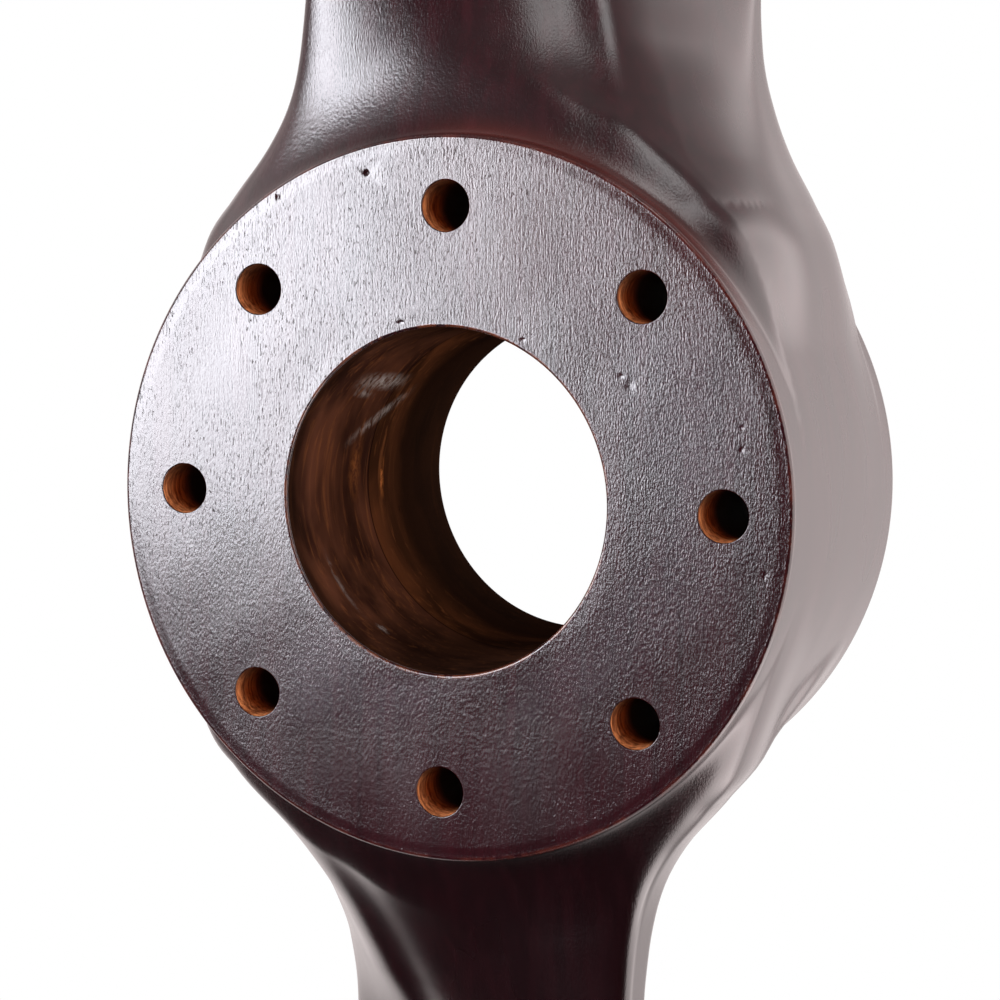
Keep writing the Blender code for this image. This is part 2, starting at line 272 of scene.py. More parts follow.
# Dents in the front face, in millimetres: x, z, half width, half height and depth
DENTS_MM = (
    (-22.0, 83.2, 0.55, 0.55, 0.5),
    (50.2, 31.4, 1.1, 1.4, 0.12),
    (47.8, 33.4, 0.7, 0.6, 0.12),
    (79.3, 21.9, 0.6, 0.5, 0.12),
    (79.4, 16.5, 0.5, 0.7, 0.12),
    (85.9, -13.9, 0.4, 0.9, 0.12),
    (-47.4, 76.9, 0.5, 0.9, 0.2),
    (-12.1, 45.4, 0.8, 0.35, 0.15),
    (21.6, 41.8, 0.7, 0.35, 0.12),
)


def ease(value, low, high):
    """Rises smoothly from 0 to 1 as the value goes from low to high."""
    share = np.clip((value - low) / (high - low), 0, 1)
    return share * share * (3 - 2 * share)


def smooth_curve(xs, ys, x):
    """Cubics through the stations that never overshoot them."""
    steps = np.diff(xs)
    slopes = np.diff(ys) / steps
    tangents = np.zeros(len(xs))
    for i in range(1, len(xs) - 1):
        if slopes[i - 1] * slopes[i] > 0:
            before = 2 * steps[i] + steps[i - 1]
            after = steps[i] + 2 * steps[i - 1]
            tangents[i] = (before + after) / (before / slopes[i - 1] + after / slopes[i])
    tangents[-1] = slopes[-1]
    x = np.clip(x, xs[0], xs[-1])
    i = np.clip(np.searchsorted(xs, x) - 1, 0, len(steps) - 1)
    t = (x - xs[i]) / steps[i]
    start = (2 * t**3 - 3 * t**2 + 1) * ys[i] + (t**3 - 2 * t**2 + t) * steps[i] * tangents[i]
    end = (3 * t**2 - 2 * t**3) * ys[i + 1] + (t**3 - t**2) * steps[i] * tangents[i + 1]
    return start + end


TABLE = np.array(STATIONS_MM, float) / 1000
RADII = np.linspace(0, TIP_RADIUS, CURVE_SAMPLES)
CURVES = [smooth_curve(TABLE[:, 0], column, RADII) for column in TABLE.T[1:]]


def blade_edges(radius):
    """The station values at each radius, in metres."""
    return [np.interp(radius, RADII, curve) for curve in CURVES]


def squareness(radius, across):
    """The power of a section's outline there, of its own for the leading and the trailing half."""
    share = ease(radius, SQUARE_UP_TO, ROUND_FROM)
    root = np.where(across < 0, *ROOT_SQUARENESS)
    return root + (BLADE_SQUARENESS - root) * share


def face_depths(x, stations):
    """The depths of the front and the rear face of a section, over its ridge and its hollow."""
    lead_x, lead_front, lead_rear, trail_x, trail_front, trail_rear = stations[:6]
    ridge_x, ridge, softness, bulge, hollow, rear_bulge = stations[6:]
    lead_share = (x - lead_x) / (ridge_x - lead_x)
    from_lead = lead_front + (ridge - lead_front) * lead_share
    from_lead = from_lead - bulge * np.maximum(4 * lead_share * (1 - lead_share), FRONT_BULGE_LIMIT)
    from_lead = from_lead + hollow * np.exp(-(((x - ridge_x + HOLLOW_OFFSET) / HOLLOW_WIDTH) ** 2))
    from_ridge = ridge + (trail_front - ridge) * (x - ridge_x) / (trail_x - ridge_x)
    overlap = np.maximum(softness - np.abs(from_lead - from_ridge), 0) / softness
    front_depth = np.maximum(from_lead, from_ridge) + overlap**2 * softness / 4
    share = (x - lead_x) / (trail_x - lead_x)
    rear_depth = lead_rear + (trail_rear - lead_rear) * share
    rear_depth = rear_depth + rear_bulge * np.maximum(4 * share * (1 - share), REAR_BULGE_LIMIT)
    return front_depth, rear_depth


def section_value(x, depth, z):
    """Below 0 inside a blade's section, 0 on its skin and above 0 outside it."""
    radius = np.abs(z)
    stations = blade_edges(radius)
    across = 2 * (x - stations[0]) / (stations[3] - stations[0]) - 1
    front_depth, rear_depth = face_depths(x, stations)
    through = 2 * (depth - front_depth) / (rear_depth - front_depth) - 1
    power = squareness(radius, across)
    return (np.abs(across) ** power + np.abs(through) ** power) ** (1 / power) - 1


def slope_of(field, points):
    """The field's slope along X, depth and Z at each point."""
    slopes = np.empty_like(points)
    for axis in range(3):
        shift = np.zeros(3)
        shift[axis] = SLOPE_STEP
        slopes[:, axis] = (field(points + shift) - field(points - shift)) / (2 * SLOPE_STEP)
    return slopes


def blade_value(points):
    return section_value(*points.T)


def blade_distance(points):
    """About how far each point is outside the blade."""
    slope = np.linalg.norm(slope_of(blade_value, points), axis=1)
    return blade_value(points) / np.maximum(slope, 1.0)


def drum_distance(points):
    """How far each point is outside the hub's drum, whose rear rim is rounded."""
    x, depth, z = points.T
    back = np.clip(depth - (HUB_DEPTH - REAR_ROUND), 0, ROUND_SHARE * REAR_ROUND)
    pulled_in = REAR_ROUND - np.sqrt(REAR_ROUND**2 - back**2)
    return np.hypot(x, z) - HUB_RADIUS + pulled_in


def fillet_size(x, depth):
    """How wide the hollow round between the drum and the blade is at a point."""
    front, rear = LEAD_FILLETS
    lead = front + (rear - front) * ease(depth, *LEAD_CHANGE_DEPTHS)
    size = lead + (TRAIL_FILLET - lead) * ease(x, *SIDE_CHANGE_X)
    fade = np.minimum(ease(depth, 0, FILLET_FADE), ease(HUB_DEPTH - depth, 0, FILLET_FADE))
    return size * fade + LEAST_FILLET


def skin_distance(points):
    """The blade and the drum as one body, with a hollow round where they meet."""
    blade = blade_distance(points)
    drum = drum_distance(points)
    fillet = fillet_size(points[:, 0], points[:, 1])
    overlap = np.maximum(fillet - np.abs(blade - drum), 0) / fillet
    return np.minimum(blade, drum) - overlap**2 * fillet / 4


def pull_to_skin(points):
    """Moves the points along the skin's slope until they lie on it."""
    for _ in range(PULL_ROUNDS):
        slope = slope_of(skin_distance, points)
        steepness = np.maximum((slope**2).sum(axis=1), LEAST_STEEPNESS)
        step = (skin_distance(points) / steepness)[:, None] * slope
        length = np.linalg.norm(step, axis=1, keepdims=True)
        points = points - step * np.minimum(1, LONGEST_PULL / np.maximum(length, 1e-12))
    return points


def hub_loop(face_points, edge_points):
    """Round the upper half of the drum's wall: front rim, right side, rear rim, left side."""
    turn = np.pi * np.arange(face_points) / face_points
    along = np.arange(edge_points) / edge_points
    front = FRONT_ROUND
    rear = HUB_DEPTH - REAR_ROUND
    rim_x = HUB_RADIUS * np.cos(turn)
    rim_z = HUB_RADIUS * np.sin(turn)
    side = front + (rear - front) * along
    edge = np.full(edge_points, HUB_RADIUS)
    flat = np.zeros(edge_points)
    return np.concatenate([
        np.stack([-rim_x, np.full(face_points, front), rim_z], axis=1),
        np.stack([edge, side, flat], axis=1),
        np.stack([rim_x, np.full(face_points, rear), rim_z], axis=1),
        np.stack([-edge, front + rear - side, flat], axis=1),
    ])


def blade_loop(radius, face_points, edge_points):
    """Round a blade's section in the same order: front face, trailing edge, rear face, leading edge."""
    stations = [float(v) for v in blade_edges(np.array(radius))]
    angle = np.linspace(-np.pi, np.pi, LOOP_SAMPLES)
    power = squareness(radius, np.cos(angle))
    across = np.sign(np.cos(angle)) * np.abs(np.cos(angle)) ** (2 / power)
    through = np.sign(np.sin(angle)) * np.abs(np.sin(angle)) ** (2 / power)
    x = stations[0] + (stations[3] - stations[0]) * (across + 1) / 2
    front_depth, rear_depth = face_depths(x, stations)
    depth = front_depth + (rear_depth - front_depth) * (through + 1) / 2
    length = np.concatenate([[0], np.cumsum(np.hypot(np.diff(x), np.diff(depth)))])
    corners = []
    for side, face in ((-1, -1), (1, -1), (1, 1), (-1, 1)):
        nearest = np.argmin((across - side) ** 2 + (through - face) ** 2)
        corners.append(length[nearest])
    corners.append(corners[0] + length[-1])
    stops = []
    for corner, after, count in zip(corners, corners[1:], (face_points, edge_points) * 2):
        stops.append(corner + (after - corner) * np.arange(count) / count)
    stops = np.concatenate(stops) % length[-1]
    x = np.interp(stops, length, x)
    depth = np.interp(stops, length, depth)
    return np.stack([x, depth, np.full(len(stops), radius)], axis=1)


def relax(rows, rounds, setback):
    """Evens out the rows between the first and the last, and keeps them on the skin."""
    inner = len(rows) - 2
    keep = setback * np.repeat(np.arange(1, inner + 1), rows.shape[1])
    for _ in range(rounds):
        beside = (np.roll(rows, 1, axis=1) + np.roll(rows, -1, axis=1))[1:-1]
        above = rows[:-2] + rows[2:]
        points = (OWN_SHARE * rows[1:-1] + NEIGHBOUR_SHARE * (beside + above)).reshape(-1, 3)
        points = pull_to_skin(points)
        points[:, 1] = np.maximum(points[:, 1], FRONT_ROUND + keep)
        points[:, 1] = np.minimum(points[:, 1], HUB_DEPTH - REAR_ROUND - keep)
        points[:, 2] = np.maximum(points[:, 2], LEAST_Z)
        rows[1:-1] = points.reshape(inner, -1, 3)
    return rows


def in_between(before, start, end, after, share):
    """A point on a smooth curve from start to end that also heeds the points before and after."""
    return 0.5 * (
        2 * start + (end - before) * share
        + (2 * before - 5 * start + 4 * end - after) * share**2
        + (3 * start - before - 3 * end + after) * share**3
    )


def finer(rows, times_rows, times_along):
    """Adds rows, and points along each row, on smooth curves through the ones there are."""
    rows = np.concatenate([2 * rows[:1] - rows[1:2], rows, 2 * rows[-1:] - rows[-2:-1]])
    parts = []
    for k in range(times_rows):
        parts.append(in_between(rows[:-3], rows[1:-2], rows[2:-1], rows[3:], k / times_rows))
    last = rows[-2:-1]
    rows = np.concatenate([np.stack(parts, axis=1).reshape(-1, *rows.shape[1:]), last])
    parts = []
    for k in range(times_along):
        corners = [np.roll(rows, shift, axis=1) for shift in (1, 0, -1, -2)]
        parts.append(in_between(*corners, k / times_along))
    return np.stack(parts, axis=2).reshape(len(rows), -1, 3)


def skin_rows():
    """Closed rows of points from the drum's wall up to the tip, all in one order."""
    start = hub_loop(FACE_POINTS, EDGE_POINTS)
    end = blade_loop(ROOT_END, FACE_POINTS, EDGE_POINTS)
    share = np.linspace(0, 1, ROOT_ROWS + 1)[:, None, None]
    rows = relax((1 - share) * start + share * end, RELAX_ROUNDS, RELAX_SETBACK)
    rows = finer(rows, FINER_ROWS, FINER)
    rows[0] = hub_loop(FINER * FACE_POINTS, FINER * EDGE_POINTS)
    rows[-1] = blade_loop(ROOT_END, FINER * FACE_POINTS, FINER * EDGE_POINTS)
    rows = relax(rows, FINER_ROUNDS, FINER_SETBACK)
    count = round((TIP_RADIUS - ROOT_END) / BLADE_ROW_STEP)
    left = (1 - np.arange(1, count + 1) / count) ** TIP_CROWDING
    radii = TIP_RADIUS - (TIP_RADIUS - ROOT_END) * left
    outer = [blade_loop(radius, FINER * FACE_POINTS, FINER * EDGE_POINTS) for radius in radii]
    return np.concatenate([rows, outer])


class Shell:
    """One closed surface in the making: points, and faces whose corners hold their own normals."""

    def __init__(self):
        self.points = []
        self.count = 0
        self.patches = []

    def add_points(self, points):
        points = np.asarray(points, float).reshape(-1, 3)
        self.points.append(points)
        self.count += len(points)
        return np.arange(self.count - len(points), self.count)

    def add_faces(self, faces, normals, material):
        self.patches.append((np.asarray(faces), np.asarray(normals, float), material))

    def strip(self, low, high, low_normals, high_normals, material):
        """Four-sided faces between two closed rows of points."""
        faces = np.stack([low, np.roll(low, -1), np.roll(high, -1), high], axis=1)
        low_next = np.roll(low_normals, -1, axis=0)
        high_next = np.roll(high_normals, -1, axis=0)
        normals = np.stack([low_normals, low_next, high_next, high_normals], axis=1)
        self.add_faces(faces, normals, material)

    def welded(self):
        """Triangles with one index for each place: points, corners, corner normals and materials."""
        points = np.concatenate(self.points)
        rounded = np.round(points, WELD_DIGITS)
        _, first, index = np.unique(rounded, axis=0, return_index=True, return_inverse=True)
        index = index.reshape(-1)
        corners, normals, materials = [], [], []
        for faces, face_normals, material in self.patches:
            for trio in ((0, 1, 2), (0, 2, 3))[: faces.shape[1] - 2]:
                corners.append(index[faces[:, trio]])
                normals.append(face_normals[:, trio])
                materials.append(np.full(len(faces), material))
        corners, normals = np.concatenate(corners), np.concatenate(normals)
        materials = np.concatenate(materials)
        points = points[first]
        whole = (corners != np.roll(corners, -1, axis=1)).all(axis=1)
        corners, normals, materials = corners[whole], normals[whole], materials[whole]
        sides = points[corners]
        facing = np.cross(sides[:, 1] - sides[:, 0], sides[:, 2] - sides[:, 0])
        turned = (facing * normals.sum(axis=1)).sum(axis=1) < 0
        corners[turned] = corners[turned][:, ::-1]
        normals[turned] = normals[turned][:, ::-1]
        return points, corners, normals, materials


def ring(radius, segments, y, x=0.0, z=0.0):
    """Points round a circle about an axis along Y."""
    turn = 2 * np.pi * np.arange(segments) / segments
    across = x + radius * np.cos(turn)
    up = z + radius * np.sin(turn)
    return np.stack([across, np.full(segments, y), up], axis=1)


def outward(points, x=0.0, z=0.0):
    """Unit vectors from an axis along Y to each point."""
    away = points - np.array([x, 0, z])
    away[:, 1] = 0
    return away / np.linalg.norm(away, axis=1, keepdims=True)


def rounded_rim(shell, rim, rim_points, size, face_y, x=0.0, z=0.0, inwards=1):
    """A quarter round from a wall's last row to a flat face; it gives that face's border."""
    axis = np.array([x, 0, z])
    away = outward(rim_points, x, z)
    into = np.array([0.0, math.copysign(1.0, face_y + HUB_DEPTH / 2), 0.0])
    radius = np.linalg.norm((rim_points - axis) * (1, 0, 1), axis=1, keepdims=True)
    row, row_normals = rim, inwards * away
    for step in range(1, ROUND_STEPS + 1):
        angle = 0.5 * math.pi * step / ROUND_STEPS
        place = away * (radius - inwards * size * (1 - math.cos(angle))) + axis
        place[:, 1] = face_y - into[1] * size * (1 - math.sin(angle))
        after = shell.add_points(place)
        normals = inwards * math.cos(angle) * away + math.sin(angle) * into
        shell.strip(row, after, row_normals, normals, LACQUERED)
        row, row_normals = after, normals
    return row, place


def surface_height(x, z):
    """How far the front face stands proud of its plane: slow waves from hand sanding, and its dents."""
    from_rim = HUB_RADIUS - np.hypot(x, z)
    from_bore = np.hypot(x, z) - BORE_RADIUS
    bend = WAVE_BEND * np.sin(z / BEND_LENGTH)
    waves = np.sin(x / QUICK_LENGTHS[0] + bend) * np.sin(z / QUICK_LENGTHS[1] + WAVE_SHIFT) * QUICK_WAVE
    waves += SLOW_WAVE * np.sin(x / SLOW_LENGTHS[0] + z / SLOW_LENGTHS[1])
    height = waves * ease(from_rim, 0.001, 0.006) * ease(from_bore, 0.001, 0.004)
    height += FACE_CROWN * ease(from_rim, FRONT_ROUND, FRONT_ROUND + CROWN_WIDTH)
    for dent_x, dent_z, wide, tall, deep in DENTS_MM:
        away = np.hypot((x * 1000 - dent_x) / wide, (z * 1000 - dent_z) / tall)
        height = height - deep / 1000 * np.exp(-(away**2))
    return height


def height_slopes(x, z):
    """How steeply the front face rises along X and along Z."""
    step = SLOPE_STEP
    along_x = (surface_height(x + step, z) - surface_height(x - step, z)) / (2 * step)
    along_z = (surface_height(x, z + step) - surface_height(x, z - step)) / (2 * step)
    return along_x, along_z


def bolt_places():
    """The x and z of each bolt hole's axis."""
    for k in range(BOLT_COUNT):
        angle = 2 * math.pi * k / BOLT_COUNT
        yield BOLT_CIRCLE_RADIUS * math.sin(angle), BOLT_CIRCLE_RADIUS * math.cos(angle)


def outside_holes(points, clearance):
    """Which points keep that far from every bolt hole."""
    clear = np.ones(len(points), bool)
    for x, z in bolt_places():
        clear &= np.hypot(points[:, 0] - x, points[:, 1] - z) > BOLT_HOLE_RADIUS + clearance
    return clear


def dent_points(edge):
    """A small grid of points over each dent."""
    offsets = np.linspace(-2, 2, DENT_SAMPLES)
    stagger = DENT_STAGGER * (np.arange(DENT_SAMPLES) % 2)[:, None]
    for dent_x, dent_z, wide, tall, _ in DENTS_MM:
        x, z = np.meshgrid(dent_x + wide * offsets, dent_z + tall * offsets)
        points = np.stack([(x + wide * stagger).ravel(), z.ravel()], axis=1) / 1000
        yield points[np.hypot(*points.T) < edge - RIM_INSETS[0]]


def face_points(front):
    """Points over the ring between the bore and the rim, closer together at the front's dents and rim."""
    spacing = FRONT_SPACING if front else REAR_SPACING
    edge = HUB_RADIUS - (FRONT_ROUND if front else REAR_ROUND)
    steps = np.arange(-HUB_RADIUS, HUB_RADIUS, spacing)
    x, z = np.meshgrid(steps, steps * math.sqrt(3) / 2)
    x = x + 0.5 * spacing * (np.arange(len(steps)) % 2)[:, None]
    points = np.stack([x.ravel(), z.ravel()], axis=1)
    added = []
    if front:
        for near in dent_points(edge):
            apart = np.linalg.norm(points[:, None] - near[None], axis=2).min(axis=1)
            points = points[apart > DENT_CLEARANCE]
            added.append(near)
        for inset in RIM_INSETS:
            points = points[np.abs(np.hypot(*points.T) - edge + inset) > RIM_CLEARANCE]
            added.append(ring(edge - inset, RIM_SEGMENTS, 0.0)[:, [0, 2]])
    points = np.concatenate([points, *added])
    radius = np.hypot(*points.T)
    clear = outside_holes(points, HOLE_ROUND + HOLE_CLEARANCE)
    clear &= radius < edge - BORDER_CLEARANCE
    clear &= radius > BORE_RADIUS + BORE_ROUND + BORDER_CLEARANCE
    points = points[clear]
    _, first = np.unique(np.round(points, FACE_DIGITS), axis=0, return_index=True)
    return points[np.sort(first)]


def triangulated(places, inner):
    """The flat places and triangles of a hub face between its borders, without the holes."""
    flat = np.concatenate([place[:, [0, 2]] for place in places])
    edges = []
    start = 0
    for place in places:
        k = np.arange(len(place))
        edges += [(int(start + a), int(start + b)) for a, b in zip(k, np.roll(k, -1))]
        start += len(place)
    coords = [Vector(point) for point in np.concatenate([flat, inner])]
    made, _, faces, *_ = delaunay_2d_cdt(coords, edges, [], 0, CUT_TOLERANCE)
    if len(made) != len(coords):
        raise ValueError("the face's borders touch")
    faces = np.array(faces)
    flat = np.array([tuple(point) for point in made])
    middle = flat[faces].mean(axis=1)
    radius = np.hypot(*middle.T)
    solid = outside_holes(middle, SOLID_SHARE * HOLE_ROUND)
    solid &= (radius < HUB_RADIUS) & (radius > BORE_RADIUS + BORE_ROUND)
    return flat, faces[solid]


def flat_face(shell, borders, front):
    """The hub's front or rear face; the front one has its waves, dents and crown."""
    inner = face_points(front)
    flat, faces = triangulated([place for _, place in borders], inner)
    lift = surface_height(*inner.T) if front else np.zeros(len(inner))
    y = -HUB_DEPTH - lift if front else lift
    inner_index = shell.add_points(np.stack([inner[:, 0], y, inner[:, 1]], axis=1))
    normals = np.zeros((len(flat), 3))
    normals[:, 1] = -1.0 if front else 1.0
    if front:
        slope_x, slope_z = height_slopes(*flat.T)
        raised = np.arange(len(flat)) >= len(flat) - len(inner)
        normals[raised, 0] = -slope_x[raised]
        normals[raised, 2] = -slope_z[raised]
        normals /= np.linalg.norm(normals, axis=1, keepdims=True)
    index = np.concatenate([*(row for row, _ in borders), inner_index])
    shell.add_faces(index[faces], normals[faces], LACQUERED)


def hole(shell, radius, segments, edge, material, x, z):
    """A straight hole through the hub with rounded edges; it gives its borders on both faces."""
    row = None
    borders = []
    for depth in np.linspace(edge, HUB_DEPTH - edge, WALL_ROWS):
        points = ring(radius, segments, depth - HUB_DEPTH, x, z)
        index = shell.add_points(points)
        normals = -outward(points, x, z)
        if row is None:
            borders.append(rounded_rim(shell, index, points, edge, -HUB_DEPTH, x, z, inwards=-1))
        else:
            shell.strip(row, index, normals, normals, material)
        row = index
    borders.append(rounded_rim(shell, row, points, edge, 0.0, x, z, inwards=-1))
    return borders


def close_tip(shell, row, places, side):
    """A fan of faces over a blade's last row."""
    tip = shell.add_points(places.mean(axis=0))
    fan = np.stack([row, np.roll(row, -1), np.full(len(row), tip[0])], axis=1)
    shell.add_faces(fan, np.broadcast_to([0.0, 0.0, float(side)], (len(row), 3, 3)), LACQUERED)


def carved_skin(shell):
    """The drum's wall and both blades; it gives the rows of points round the hub's two faces."""
    rows = skin_rows()
    normals = slope_of(skin_distance, rows.reshape(-1, 3))
    normals = (normals / np.linalg.norm(normals, axis=1, keepdims=True)).reshape(rows.shape)
    face_count = FINER * FACE_POINTS
    rear_start = face_count + FINER * EDGE_POINTS
    spans = {"front": slice(0, face_count), "rear": slice(rear_start, rear_start + face_count)}
    rims = {"front": [], "rear": []}
    for side in (1, -1):
        turn = np.array([side, 1, side])
        places = rows * turn - np.array([0, HUB_DEPTH, 0])
        grid = [shell.add_points(row) for row in places]
        turned = normals * turn
        for k in range(len(grid) - 1):
            shell.strip(grid[k], grid[k + 1], turned[k], turned[k + 1], LACQUERED)
        close_tip(shell, grid[-1], places[-1], side)
        for name, span in spans.items():
            rims[name].append((grid[0][span], places[0][span]))
    return rims


def propeller_shell():
    """The whole propeller's surface: the carved skin, rounded rims, holes and faces."""
    shell = Shell()
    rims = carved_skin(shell)
    borders = {"front": [], "rear": []}
    for name, size, y in (("front", FRONT_ROUND, -HUB_DEPTH), ("rear", REAR_ROUND, 0.0)):
        index, points = (np.concatenate(halves) for halves in zip(*rims[name]))
        borders[name].append(rounded_rim(shell, index, points, size, y))
    holes = [(BORE_RADIUS, BORE_SEGMENTS, BORE_ROUND, BORE_WOOD, 0.0, 0.0)]
    for x, z in bolt_places():
        holes.append((BOLT_HOLE_RADIUS, HOLE_SEGMENTS, HOLE_ROUND, HOLE_WOOD, x, z))
    for sizes in holes:
        front, rear = hole(shell, *sizes)
        borders["front"].append(front)
        borders["rear"].append(rear)
    flat_face(shell, borders["front"], True)
    flat_face(shell, borders["rear"], False)
    return shell.welded()


def cut_and_close(mesh, cuts):
    """Cuts the mesh off at each plane across Y, and closes it there with a flat glue face."""
    bm = bmesh.new()
    bm.from_mesh(mesh)
    layer = bm.loops.layers.float_vector["corner_normal"]
    for cut, way in cuts:
        plane = {"plane_co": (0, cut, 0), "plane_no": (0, -way, 0)}
        everything = bm.verts[:] + bm.edges[:] + bm.faces[:]
        done = bmesh.ops.bisect_plane(bm, geom=everything, dist=CUT_TOLERANCE, clear_outer=True, **plane)
        edges = [e for e in done["geom_cut"] if isinstance(e, bmesh.types.BMEdge)]
        filled = bmesh.ops.triangle_fill(bm, use_beauty=False, edges=edges, normal=(0, -way, 0))
        for face in filled["geom"]:
            if isinstance(face, bmesh.types.BMFace):
                for loop in face.loops:
                    loop[layer] = (0.0, -way, 0.0)
    bmesh.ops.recalc_face_normals(bm, faces=bm.faces)
    bm.to_mesh(mesh)
    bm.free()


def use_corner_normals(mesh):
    """Shades the mesh by the normals stored in its corners, and drops the store."""
    normals = np.empty(len(mesh.loops) * 3, np.float32)
    mesh.attributes["corner_normal"].data.foreach_get("vector", normals)
    normals = normals.reshape(-1, 3)
    mesh.attributes.remove(mesh.attributes["corner_normal"])
    mesh.normals_split_custom_set(normals / np.linalg.norm(normals, axis=1, keepdims=True))


def board_piece(index, surface, materials):
    """The stretch of the surface that one board shows, closed with flat glue faces."""
    points, corners, normals, face_materials = surface
    thickness = HUB_DEPTH / len(BOARDS)
    low = -HUB_DEPTH + index * thickness if index else -math.inf
    high = -HUB_DEPTH + (index + 1) * thickness if index < len(BOARDS) - 1 else math.inf
    y = points[corners][:, :, 1]
    mine = (y.min(axis=1) < high) & (y.max(axis=1) > low)
    used, local = np.unique(corners[mine], return_inverse=True)
    name = BOARDS[index] + "_wood"
    mesh = bpy.data.meshes.new(name)
    mesh.from_pydata(points[used].tolist(), [], local.reshape(-1, 3).tolist())
    mesh.polygons.foreach_set("material_index", face_materials[mine].astype(np.int32))
    stored = mesh.attributes.new("corner_normal", "FLOAT_VECTOR", "CORNER")
    stored.data.foreach_set("vector", normals[mine].astype(np.float32).ravel())
    cut_and_close(mesh, [cut for cut in ((low, 1), (high, -1)) if math.isfinite(cut[0])])
    for material in materials:
        mesh.materials.append(material)
    mesh.shade_smooth()
    use_corner_normals(mesh)
    piece = bpy.data.objects.new(name, mesh)
    bpy.context.scene.collection.objects.link(piece)
    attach(piece, "root")
    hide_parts(BOARDS[index])


class Nodes:
    """Short ways to place and join shader nodes."""

    def __init__(self, tree):
        self.tree = tree

    def feed(self, socket, value):
        if isinstance(value, bpy.types.NodeSocket):
            self.tree.links.new(value, socket)
        else:
            socket.default_value = value

    def node(self, kind, operation=None, **inputs):
        node = self.tree.nodes.new(kind)
        if operation:
            node.operation = operation
        for name, value in inputs.items():
            self.feed(node.inputs[name.replace("_", " ")], value)
        return node

    def socket(self, sockets, name):
        """The socket with that identifier, where several share a name."""
        return next(socket for socket in sockets if socket.identifier == name)

    def math(self, operation, a, b=0.0, c=0.0):
        node = self.node("ShaderNodeMath", operation)
        for socket, value in zip(node.inputs, (a, b, c)):
            self.feed(socket, value)
        return node.outputs["Value"]

    def plus(self, a, b):
        return self.math("ADD", a, b)

    def times(self, first, *others):
        """The product of all the values."""
        for value in others:
            first = self.math("MULTIPLY", first, value)
        return first

    def step(self, value, low, high, bottom=0.0, top=1.0):
        """Rises smoothly from bottom to top as the value goes from low to high."""
        node = self.node("ShaderNodeMapRange")
        node.interpolation_type = "SMOOTHSTEP"
        for name, number in zip(("From Min", "From Max", "To Min", "To Max"), (low, high, bottom, top)):
            node.inputs[name].default_value = number
        self.feed(node.inputs["Value"], value)
        return node.outputs["Result"]

    def blend(self, share, a, b):
        """From one number to another."""
        node = self.node("ShaderNodeMix", Factor=share)
        for name, value in (("A_Float", a), ("B_Float", b)):
            self.feed(self.socket(node.inputs, name), value)
        return self.socket(node.outputs, "Result_Float")

    def mix(self, share, a, b):
        """From one colour to another."""
        node = self.node("ShaderNodeMix", Factor=share)
        node.data_type = "RGBA"
        for name, value in (("A_Color", a), ("B_Color", b)):
            value = (*value, 1.0) if isinstance(value, tuple) else value
            self.feed(self.socket(node.inputs, name), value)
        return self.socket(node.outputs, "Result_Color")


class Shader(Nodes):
    """A material of one Principled surface, with the coordinates that its patterns use."""

    def __init__(self, name):
        self.material = bpy.data.materials.new(name)
        self.material.use_nodes = True
        super().__init__(self.material.node_tree)
        self.surface = self.tree.nodes["Principled BSDF"]
        self.place = self.node("ShaderNodeTexCoord").outputs["Object"]
        self.x, y, self.z = self.node("ShaderNodeSeparateXYZ", Vector=self.place).outputs
        self.depth = self.plus(y, HUB_DEPTH)
        flat = self.node("ShaderNodeCombineXYZ", X=self.x, Z=self.z).outputs["Vector"]
        length = self.node("ShaderNodeVectorMath", operation="LENGTH", Vector=flat)
        self.radius = length.outputs["Value"]

    def set_surface(self, finish):
        """Sets the shader's own sockets."""
        for name, value in finish.items():
            self.surface.inputs[name].default_value = value

    def near(self, value, middle, reach):
        """1 at the middle, falling to 0 at that reach from it."""
        away = self.math("ABSOLUTE", self.math("SUBTRACT", value, middle))
        return self.step(away, 0.0, reach, 1.0, 0.0)

    def facing(self, axis):
        """How far the surface faces along that axis, from -1 to 1."""
        normal = self.node("ShaderNodeTexCoord").outputs["Normal"]
        return self.node("ShaderNodeSeparateXYZ", Vector=normal).outputs[axis]

    def noise(self, scale, detail=2.0, roughness=0.5, distortion=0.0, shift=0.0):
        mapping = self.node("ShaderNodeMapping", Vector=self.place)
        mapping.inputs["Scale"].default_value = scale
        mapping.inputs["Location"].default_value = (shift, shift, shift)
        node = self.node("ShaderNodeTexNoise", Vector=mapping.outputs["Vector"], Scale=1.0)
        node.inputs["Detail"].default_value = detail
        node.inputs["Roughness"].default_value = roughness
        node.inputs["Distortion"].default_value = distortion
        return node.outputs["Fac"]

    def bump(self, height, distance, normal=None):
        node = self.node("ShaderNodeBump", Height=height, Distance=distance)
        if normal is not None:
            self.feed(node.inputs["Normal"], normal)
        return node.outputs["Normal"]


def stained_grain(shader, tone):
    """The board's stain, from dark to warm with the grain."""
    dark = tuple(tone * c for c in STAIN_DARK)
    warm = tuple(tone * c for c in STAIN_WARM)
    grain = shader.noise((260, 260, 14), detail=5, roughness=0.6, distortion=0.4)
    figure = shader.noise((60, 60, 5), detail=3, distortion=0.6, shift=3.0)
    colour = shader.mix(shader.step(grain, 0.35, 0.7), dark, warm)
    return shader.mix(shader.step(figure, 0.45, 0.75, 0.0, 0.3), colour, warm)


def sunk_pores(shader, on_face, high_left):
    """Short pores in the front face, in crowds, and most of them high on the left."""
    pores = shader.step(shader.noise((2500, 2200, 480), detail=1, shift=7.0), 0.645, 0.69)
    crowd = shader.step(shader.noise((45, 45, 30), shift=11.0), 0.36, 0.6)
    return shader.times(pores, crowd, on_face, shader.step(high_left, -0.03, 0.04, 0.15, 1.0))


